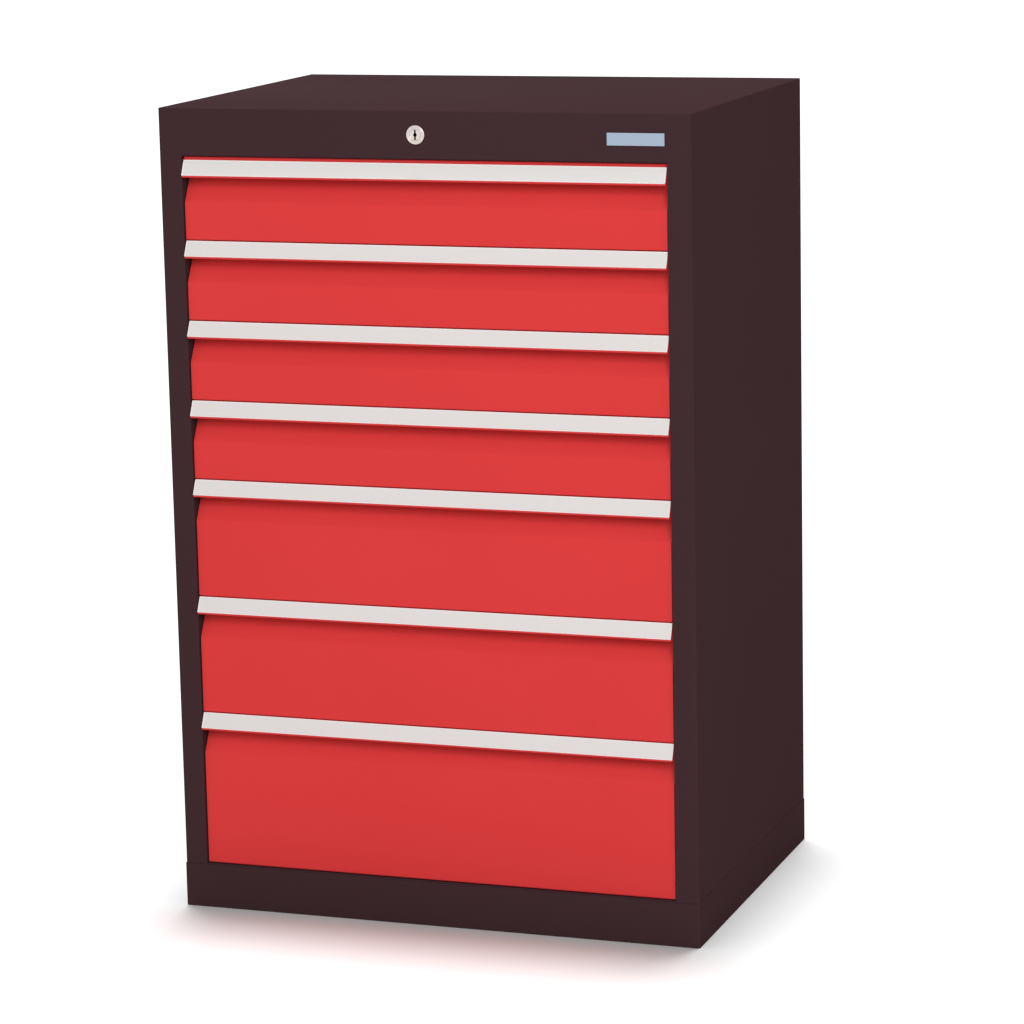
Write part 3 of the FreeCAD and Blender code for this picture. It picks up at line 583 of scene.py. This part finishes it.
def label_strip(number):
    node = "label_strip_%d" % number
    low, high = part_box(node)
    bm = bmesh.new()
    block(bm, (low.x, -STRIP_THICK, -STRIP_START - STRIP_WIDE), (high.x, 0, -STRIP_START))
    face = min(bm.faces, key=lambda side: side.calc_center_median().y)
    bmesh.ops.inset_individual(bm, faces=[face], thickness=STRIP_RIM)
    bmesh.ops.inset_individual(bm, faces=[face], thickness=STRIP_RIM_SLOPE)
    bmesh.ops.translate(bm, vec=(0, STRIP_BED, 0), verts=face.verts)
    face.material_index = 1
    bmesh.ops.rotate(bm, cent=(0, 0, 0), matrix=Matrix.Rotation(-HANDLE_TILT, 3, "X"), verts=bm.verts)
    bmesh.ops.translate(bm, vec=seen_from_side(HANDLE_TOP, handle_top(number), 0), verts=bm.verts)
    piece = finish_piece("label_holder_%d" % number, bm, "drawer_%d" % number,
                         [HOLDER_PLASTIC, LABEL_CARD], [node])
    soft_edges(piece, SHEET_EDGE)
    return piece


for number in DRAWERS:
    compare(label_strip(number), "label_strip_%d" % number)

# %% [markdown]
# ## The side panels
#
# Each side is one sheet too, folded round the front corner into a post and round
# the back corner into a flange. It is drawn in plan and extruded upwards. The
# fold beside the drawers stays sharp, because the fascia is welded flush against
# it and ground smooth, so that no groove may show there.

# %% Side panels
POST_DEEP = 30 * MM
POST_LIP = 14 * MM
BACK_FRAME = 22 * MM


def seen_from_above(across, back, height):
    """A point of a section that is drawn out along Z."""
    return Vector((across, back, height))


def side_panel(side, sign):
    node = "side_panel_" + side
    corners = [(HALF_WIDE - BACK_FRAME, BACK_Y), (HALF_WIDE, BACK_Y), (HALF_WIDE, FRONT_Y),
               (OPENING, FRONT_Y), (OPENING, FRONT_Y + POST_DEEP), (OPENING + POST_LIP, FRONT_Y + POST_DEEP)]
    beside_drawers = corners.index((OPENING, FRONT_Y))
    bm = folded_sheet(corners, HOUSING_STEEL, seen_from_above, (SIDE_LOW.z, SIDE_HIGH.z),
                      radii={beside_drawers: 0})
    if sign < 0:
        bmesh.ops.scale(bm, vec=(-1, 1, 1), verts=bm.verts)
        bmesh.ops.reverse_faces(bm, faces=bm.faces)
    piece = finish_piece("side_sheet_" + side, bm, "housing", [HOUSING_PAINT], [node])
    soft_edges(piece, SHEET_EDGE, flush=lambda place: near(place.z, SIDE_HIGH.z)
               or near(abs(place.x), OPENING) and near(place.y, FRONT_Y))
    return piece


for side, sign in (("left", -1), ("right", 1)):
    compare(side_panel(side, sign), "side_panel_" + side)

# %% [markdown]
# ## Cutting holes
#
# The hole for the lock and the keyway are cut out of a piece that is otherwise
# finished, as a punch or a mill would do it. A tool of the hole's shape is taken
# away with a Boolean modifier, whose result becomes the piece's mesh. Where the
# tool has a material, the walls of the cut take it over.

# %% Helpers: to cut with
LOCK_LOW, LOCK_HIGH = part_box("lock_cylinder")
LOCK_PLACE = (LOCK_LOW + LOCK_HIGH) / 2
ROUND_STEPS = 64


def bare_object(name, bm, material=None):
    """An object made of a bmesh, to cut or to be cut. It is removed after its use."""
    mesh = bpy.data.meshes.new(name)
    bm.to_mesh(mesh)
    bm.free()
    if material:
        mesh.materials.append(material)
    made = bpy.data.objects.new(name, mesh)
    bpy.context.scene.collection.objects.link(made)
    return made


def round_tool(name, radius, low_y, high_y, material=None):
    """A cylinder round the lock's axis, to cut with."""
    bm = bmesh.new()
    bmesh.ops.create_cone(bm, cap_ends=True, segments=ROUND_STEPS, radius1=radius, radius2=radius,
                          depth=high_y - low_y)
    bmesh.ops.rotate(bm, cent=(0, 0, 0), matrix=Matrix.Rotation(math.radians(90), 3, "X"), verts=bm.verts)
    bmesh.ops.translate(bm, vec=(LOCK_PLACE.x, (low_y + high_y) / 2, LOCK_PLACE.z), verts=bm.verts)
    return bare_object(name, bm, material)


def cut_away(piece, tool):
    """Cut a tool's shape out of a piece, keep the result as its mesh, and drop the tool."""
    boolean = piece.modifiers.new("cut", "BOOLEAN")
    boolean.operation = "DIFFERENCE"
    boolean.solver = "EXACT"
    boolean.material_mode = "TRANSFER"
    boolean.object = tool
    cut_mesh = bpy.data.meshes.new_from_object(piece.evaluated_get(bpy.context.evaluated_depsgraph_get()))
    piece.modifiers.remove(boolean)
    piece.data = cut_mesh
    piece.data.set_sharp_from_angle(angle=SMOOTH_BELOW)
    bpy.data.objects.remove(tool)


# %% [markdown]
# ## The fascia
#
# The front of the top panel is folded down into the fascia, which turns back and
# up again underneath for stiffness. The lock's hole is punched here, before the
# roof is added: a boolean is only sure of its result on one closed shell.

# %% Fascia
ROOF_LOW = TOP_HIGH.z - HOUSING_STEEL
FASCIA_RETURN = 22 * MM
FASCIA_LIP = 14 * MM
LOCK_HOLE = 9.55 * MM
PUNCH_REACH = 4 * MM


def fascia():
    """The front of the top panel, with the hole for the lock, as an object of its own."""
    foot = TOP_LOW.z
    corners = [(FASCIA_RETURN, foot + FASCIA_LIP), (FASCIA_RETURN, foot), (0, foot), (0, ROOF_LOW)]
    bm = folded_sheet(corners, HOUSING_STEEL, seen_from_side, (-OPENING, OPENING), radii={})
    sheet = bare_object("fascia", bm)
    cut_away(sheet, round_tool("lock_punch", LOCK_HOLE, FRONT_Y - PUNCH_REACH, FRONT_Y + PUNCH_REACH))
    return sheet


FASCIA = fascia()
print("faces of the fascia with its hole:", len(FASCIA.data.polygons))

# %% [markdown]
# ## The top panel
#
# The roof is a sheet with rounded corners that lies on the sides. Flanges at the
# back and inside each side are spot-welded to the housing. Roof, flanges and
# fascia are joined into one piece, whose seams to the sides lie flush.

# %% Top panel
ROOF_CORNER = INNER_BEND + HOUSING_STEEL
ROOF_EDGE = 1.1 * MM
ROOF_EDGE_SEGMENTS = 3
ROOF_FLANGE = 20 * MM


def top_panel():
    bm = bmesh.new()
    block(bm, (-HALF_WIDE, FRONT_Y, ROOF_LOW), (HALF_WIDE, BACK_Y, TOP_HIGH.z))
    upright = [e for e in bm.edges if not near(e.verts[0].co.z, e.verts[1].co.z)]
    round_off(bm, upright, ROOF_CORNER)
    rim = [e for e in bm.edges if min(v.co.z for v in e.verts) > TOP_HIGH.z - SAME_PLACE]
    round_off(bm, rim, ROOF_EDGE, ROOF_EDGE_SEGMENTS)

    block(bm, (BACK_FRAME - HALF_WIDE, BACK_Y - HOUSING_STEEL, TOP_HIGH.z - BACK_FRAME),
          (HALF_WIDE - BACK_FRAME, BACK_Y, ROOF_LOW))
    flange_end = HALF_WIDE - HOUSING_STEEL
    for low_x in (flange_end - HOUSING_STEEL, -flange_end):
        block(bm, (low_x, FRONT_Y + POST_DEEP + HOUSING_STEEL, TOP_HIGH.z - ROOF_FLANGE),
              (low_x + HOUSING_STEEL, BACK_Y - BACK_FRAME, ROOF_LOW))
    bm.from_mesh(FASCIA.data)
    bpy.data.objects.remove(FASCIA)
    piece = finish_piece("top_sheet", bm, "housing", [HOUSING_PAINT], ["top_panel"])
    soft_edges(piece, PAINTED_EDGE, flush=lambda place: near(abs(place.x), OPENING)
               or near(place.z, ROOF_LOW))
    return piece


compare(top_panel(), "top_panel")

# %% [markdown]
# ## The plinth
#
# The plinth is a ring of channel, a millimetre proud of the housing at the front
# and the sides. A block loses the middle of its top and bottom faces, after each
# was inset by the width of its flange. Solidify then gives the rest its 2 mm.

# %% Plinth
PLINTH_LOW, PLINTH_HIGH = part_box("plinth")
PLINTH_STEEL = 2 * MM
PLINTH_LEDGE = 25 * MM
PLINTH_FOOT = 30 * MM
PLINTH_CORNER = 3 * MM


def plinth():
    bm = bmesh.new()
    block(bm, PLINTH_LOW, PLINTH_HIGH)
    for height, flange in ((PLINTH_HIGH.z, PLINTH_LEDGE), (PLINTH_LOW.z, PLINTH_FOOT)):
        cap = min(bm.faces, key=lambda face: abs(face.calc_center_median().z - height))
        bmesh.ops.inset_individual(bm, faces=[cap], thickness=flange)
        bmesh.ops.delete(bm, geom=[cap], context="FACES")
    bmesh.ops.solidify(bm, geom=bm.faces[:], thickness=PLINTH_STEEL)
    bmesh.ops.recalc_face_normals(bm, faces=bm.faces)
    upright = [e for e in bm.edges if abs(e.verts[0].co.z - e.verts[1].co.z) > PLINTH_HIGH.z / 2]
    outer = [e for e in upright if abs(e.verts[0].co.x) > PLINTH_HIGH.x - SAME_PLACE]
    inner = [e for e in upright if e not in outer]
    round_off(bm, outer, PLINTH_CORNER)
    round_off(bm, inner, INNER_BEND)
    piece = finish_piece("plinth_ring", bm, "housing", [HOUSING_PAINT], ["plinth"])
    soft_edges(piece, BLUNT_EDGE)
    return piece


compare(plinth(), "plinth")

# %% [markdown]
# ## The lock's cylinder
#
# A cam lock is two turned parts: the cylinder, with a collar that covers the hole
# in the fascia, and the plug that turns in it. Both are half a section, spun
# round the lock's axis. The collar's rim is rounded in two steps, and a fine
# groove runs round its face.

# %% Lock cylinder
COLLAR_RADIUS = (LOCK_HIGH.x - LOCK_LOW.x) / 2
COLLAR_FACE = LOCK_LOW.y
RIM_SHOULDER = 1.1 * MM
RIM_MIDDLE_IN = 0.4 * MM
RIM_MIDDLE_BACK = 0.35 * MM
RIM_FACE_IN = 1.2 * MM
GROOVE_IN = 2.4 * MM
GROOVE_HALF = 0.3 * MM
GROOVE_DEEP = 0.25 * MM
BORE_CHAMFER = 0.4 * MM
BARREL_RADIUS = 9.5 * MM
BORE_RADIUS = 7.05 * MM


def turned(profile, closed):
    """Spin half a section, given as radius and place along Y, round the lock's axis."""
    bm = bmesh.new()
    line = [bm.verts.new((LOCK_PLACE.x + radius, y, LOCK_PLACE.z)) for radius, y in profile]
    pairs = list(zip(line, line[1:]))
    if closed:
        pairs.append((line[-1], line[0]))
    edges = [bm.edges.new(pair) for pair in pairs]
    bmesh.ops.spin(bm, geom=line + edges, cent=(LOCK_PLACE.x, 0, LOCK_PLACE.z), axis=(0, 1, 0),
                   angle=math.tau, steps=ROUND_STEPS, use_merge=True)
    bmesh.ops.remove_doubles(bm, verts=bm.verts, dist=SAME_PLACE)
    bmesh.ops.recalc_face_normals(bm, faces=bm.faces)
    return bm


def lock_cylinder():
    groove = COLLAR_RADIUS - GROOVE_IN
    barrel = [(BORE_RADIUS, LOCK_HIGH.y), (BARREL_RADIUS, LOCK_HIGH.y), (BARREL_RADIUS, FRONT_Y)]
    rim = [(COLLAR_RADIUS, FRONT_Y), (COLLAR_RADIUS, COLLAR_FACE + RIM_SHOULDER),
           (COLLAR_RADIUS - RIM_MIDDLE_IN, COLLAR_FACE + RIM_MIDDLE_BACK),
           (COLLAR_RADIUS - RIM_FACE_IN, COLLAR_FACE)]
    face = [(groove + GROOVE_HALF, COLLAR_FACE), (groove, COLLAR_FACE + GROOVE_DEEP),
            (groove - GROOVE_HALF, COLLAR_FACE), (BORE_RADIUS + BORE_CHAMFER, COLLAR_FACE),
            (BORE_RADIUS, COLLAR_FACE + BORE_CHAMFER)]
    return finish_piece("lock_collar", turned(barrel + rim + face, closed=True), "housing", [NICKEL],
                        ["lock_cylinder"])


compare(lock_cylinder(), "lock_cylinder")

# %% [markdown]
# ## The lock's plug
#
# The plug is the part that the key turns. Its keyway is a narrow slot with a
# round hole in the middle. What cuts them gives the walls of the cut painted
# shade, a nearly black material, as hardly any light comes back out of a slot.

# %% Lock plug
PLUG_LOW, PLUG_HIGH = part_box("lock_plug")
PLUG_RADIUS = (PLUG_HIGH.x - PLUG_LOW.x) / 2
PLUG_CHAMFER = 0.5 * MM
KEY_HIGH = 12 * MM
KEY_WIDE = 2.2 * MM
KEY_ROUND = 2.3 * MM
KEY_DEEP = 20 * MM


def keyway():
    """What the key goes into: a slot that is as deep as the key, and a round hole."""
    start = PLUG_LOW.y - KEY_WIDE
    end = PLUG_LOW.y + KEY_DEEP
    bm = bmesh.new()
    block(bm, (LOCK_PLACE.x - KEY_WIDE / 2, start, LOCK_PLACE.z - KEY_HIGH / 2),
          (LOCK_PLACE.x + KEY_WIDE / 2, end, LOCK_PLACE.z + KEY_HIGH / 2))
    slot = bare_object("key_slot", bm, KEYWAY_PAINTED_SHADE)
    return slot, round_tool("key_hole", KEY_ROUND, start, end, KEYWAY_PAINTED_SHADE)


def lock_plug():
    profile = [(0, PLUG_LOW.y), (PLUG_RADIUS - PLUG_CHAMFER, PLUG_LOW.y),
               (PLUG_RADIUS, PLUG_LOW.y + PLUG_CHAMFER), (PLUG_RADIUS, PLUG_HIGH.y), (0, PLUG_HIGH.y)]
    piece = finish_piece("lock_core", turned(profile, closed=False), "lock_rotor",
                         [NICKEL, KEYWAY_PAINTED_SHADE], ["lock_plug"])
    for tool in keyway():
        cut_away(piece, tool)
    return piece


compare(lock_plug(), "lock_plug")

# %% [markdown]
# ## The plate
#
# At the right end of the fascia sits a small enamelled plate with a dark rim. It
# is blank. A block with rounded corners is inset once for the rim and once more
# for the small step down to the coloured field.

# %% Plate
PLATE_LOW, PLATE_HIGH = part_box("name_plate")
PLATE_CORNER = 0.8 * MM
PLATE_CORNER_SEGMENTS = 4
PLATE_RIM_WIDE = 0.4 * MM
PLATE_STEP_WIDE = 0.1 * MM
PLATE_STEP_DEEP = 0.15 * MM
PLATE_EDGE = 0.1 * MM


def plate():
    bm = bmesh.new()
    block(bm, PLATE_LOW, PLATE_HIGH)
    through = [e for e in bm.edges if abs(e.verts[0].co.y - e.verts[1].co.y) > SAME_PLACE]
    round_off(bm, through, PLATE_CORNER, PLATE_CORNER_SEGMENTS)
    field = min(bm.faces, key=lambda side: side.calc_center_median().y)
    bmesh.ops.inset_individual(bm, faces=[field], thickness=PLATE_RIM_WIDE)
    bmesh.ops.inset_individual(bm, faces=[field], thickness=PLATE_STEP_WIDE)
    bmesh.ops.translate(bm, vec=(0, PLATE_STEP_DEEP, 0), verts=field.verts)
    field.material_index = 1
    piece = finish_piece("blank_plate", bm, "housing", [PLATE_RIM, PLATE_ENAMEL],
                         ["name_plate"])
    soft_edges(piece, PLATE_EDGE)
    return piece


compare(plate(), "name_plate")

# %% [markdown]
# ## What the frame already shows
#
# Trays, slides, columns and the lock's bar have their true shape in the frame,
# so they keep it, and only get their finish. The mesh of such a piece is loose
# triangles. Two modifiers weld them and join what lies in one plane, after which
# a third can round the edges.

# %% Pieces that keep the frame's shape
FLAT = math.radians(1)


def dress(node, material, edge):
    """Give a piece of the frame its material and softer edges."""
    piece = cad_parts[node]
    for slot in piece.material_slots:
        slot.material = material
    weld = piece.modifiers.new("weld", "WELD")
    weld.merge_threshold = SAME_PLACE
    flat = piece.modifiers.new("flat faces", "DECIMATE")
    flat.decimate_type = "DISSOLVE"
    flat.angle_limit = FLAT
    soft_edges(piece, edge)


for node in ("back_panel", "bottom_panel", "rail_columns_left", "rail_columns_right", "shaft_bearing",
             "bar_guides"):
    dress(node, HOUSING_PAINT, SHEET_EDGE)
for node in ("cabinet_rails_left", "cabinet_rails_right", "lock_shaft", "lock_bar"):
    dress(node, ZINC_STEEL, SHEET_EDGE)
dress("lock_nut", NICKEL, SHEET_EDGE)
for number in DRAWERS:
    dress("tray_%d" % number, TRAY_PAINT, THIN_EDGE)
    dress("drawer_rails_%d" % number, ZINC_STEEL, SHEET_EDGE)
    dress("carriage_bars_%d" % number, ZINC_STEEL, THIN_EDGE)
    dress("carriage_rollers_%d" % number, NYLON, BLUNT_EDGE)
print("dressed:", sum("soft edges" in piece.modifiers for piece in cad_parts.values()), "pieces")

# %% [markdown]
# ## The floor
#
# The photograph is a studio picture on white, and only a narrow soft shadow lies
# on the floor, darkest along the plinth. The floor looks nearly white, but throws
# back less light than that: a really white one would light the drawers from
# below. A light path tells the two apart.

# %% Floor
FLOOR_HALF = 200.0
FLOOR_LOOKS = 0.97
FLOOR_THROWS_BACK = 0.62


def floor():
    bm = bmesh.new()
    bmesh.ops.create_grid(bm, x_segments=1, y_segments=1, size=FLOOR_HALF)
    mesh = bpy.data.meshes.new("floor")
    bm.to_mesh(mesh)
    bm.free()
    stage = bpy.data.objects.new("floor", mesh)
    bpy.context.scene.collection.objects.link(stage)
    return stage


def seen_directly(tree):
    """1 for rays from the camera, from gloss and through glass, and 0 for all other light."""
    ray = add(tree, "LightPath").outputs
    either = add(tree, "Math", {"operation": "MAXIMUM"},
                 {0: ray["Is Camera Ray"], 1: ray["Is Glossy Ray"]}).outputs["Value"]
    return add(tree, "Math", {"operation": "MAXIMUM"},
               {0: either, 1: ray["Is Transmission Ray"]}).outputs["Value"]


def pale_floor():
    material, tree, shader = start_material("pale_floor", 0.9, specular=0.1)[:3]
    shade = add(tree, "MapRange", inputs={"Value": seen_directly(tree), "To Min": FLOOR_THROWS_BACK,
                                          "To Max": FLOOR_LOOKS})
    tree.links.new(shade.outputs["Result"], shader.inputs["Base Color"])
    return material


FLOOR = floor()
FLOOR.data.materials.append(pale_floor())
print("the floor looks", FLOOR_LOOKS, "and throws back", FLOOR_THROWS_BACK)

# %% [markdown]
# ## The light
#
# In the photograph all sides are lit alike. A plain sky comes from everywhere. A
# wide lamp in front, to the right and above, lights the drawers and the side,
# and another behind, to the left, does the same for the other two sides. Both
# are kept off the floor, as flags do it in a studio, since they would wash the
# shadow out. A sun stands almost straight above, so that a cabinet of a metre
# throws a shadow of a hand's breadth, and its disc is wide enough to make the
# edge of that shadow soft. A second sun beside it reaches only the floor, so
# that the floor stays white round its shadow. What reaches the object adds up to
# a level at which a colour renders about as it is written.

# %% Sky
SKY = 0.57

world = bpy.data.worlds.new("studio")
bpy.context.scene.world = world
world.use_nodes = True
background = world.node_tree.nodes["Background"]
strength = add(world.node_tree, "MapRange", inputs={"Value": seen_directly(world.node_tree),
                                                     "To Min": SKY, "To Max": 1.0})
world.node_tree.links.new(strength.outputs["Result"], background.inputs["Strength"])
background.inputs["Color"].default_value = linear("#ffffff")
bpy.context.scene.view_settings.view_transform = "Standard"
print("sky", SKY)

# %% Lamps
SUN_STRENGTH = 1.45
FLOOR_SUN_STRENGTH = 0.75
SUN_DISC = math.radians(10)
SHADOW_RIGHT = math.radians(1)
SHADOW_FRONT = math.radians(6)
LAMP_SIZE = 3.0
LAMP_TARGET = Vector((0, 0, 0.5))
FRONT_LAMP = Vector((2.6, -4.8, 3.3))
FRONT_WATTS = 165
BACK_LAMP = Vector((-4.0, 5.0, 2.2))
BACK_WATTS = 130


def floor_group(name, state):
    """A collection of the floor alone, for a light to reach nothing else or to leave it out."""
    group = bpy.data.collections.new(name)
    group.objects.link(FLOOR)
    group.collection_objects[0].light_linking.link_state = state
    return group


def lamp(name, kind, strength, reaches=None):
    """A light that reaches everything, or what a collection says."""
    light = bpy.data.objects.new(name, bpy.data.lights.new(name, kind))
    bpy.context.scene.collection.objects.link(light)
    light.data.energy = strength
    light.light_linking.receiver_collection = reaches
    return light


def overhead_sun(name, strength, reaches=None):
    light = lamp(name, "SUN", strength, reaches)
    light.data.angle = SUN_DISC
    light.rotation_euler = (-SHADOW_FRONT, -SHADOW_RIGHT, 0)


def wide_lamp(name, place, watts):
    """A square lamp that faces the middle of the cabinet and is kept off the floor."""
    light = lamp(name, "AREA", watts, ALL_BUT_FLOOR)
    light.data.size = LAMP_SIZE
    light.location = place
    light.rotation_euler = (LAMP_TARGET - place).to_track_quat("-Z", "Y").to_euler()


ALL_BUT_FLOOR = floor_group("all but the floor", "EXCLUDE")
overhead_sun("overhead_sun", SUN_STRENGTH)
overhead_sun("floor_sun", FLOOR_SUN_STRENGTH, floor_group("only the floor", "INCLUDE"))
wide_lamp("front_lamp", FRONT_LAMP, FRONT_WATTS)
wide_lamp("back_lamp", BACK_LAMP, BACK_WATTS)
print("suns", SUN_STRENGTH, FLOOR_SUN_STRENGTH, "and lamps of", FRONT_WATTS, "and", BACK_WATTS, "watts")
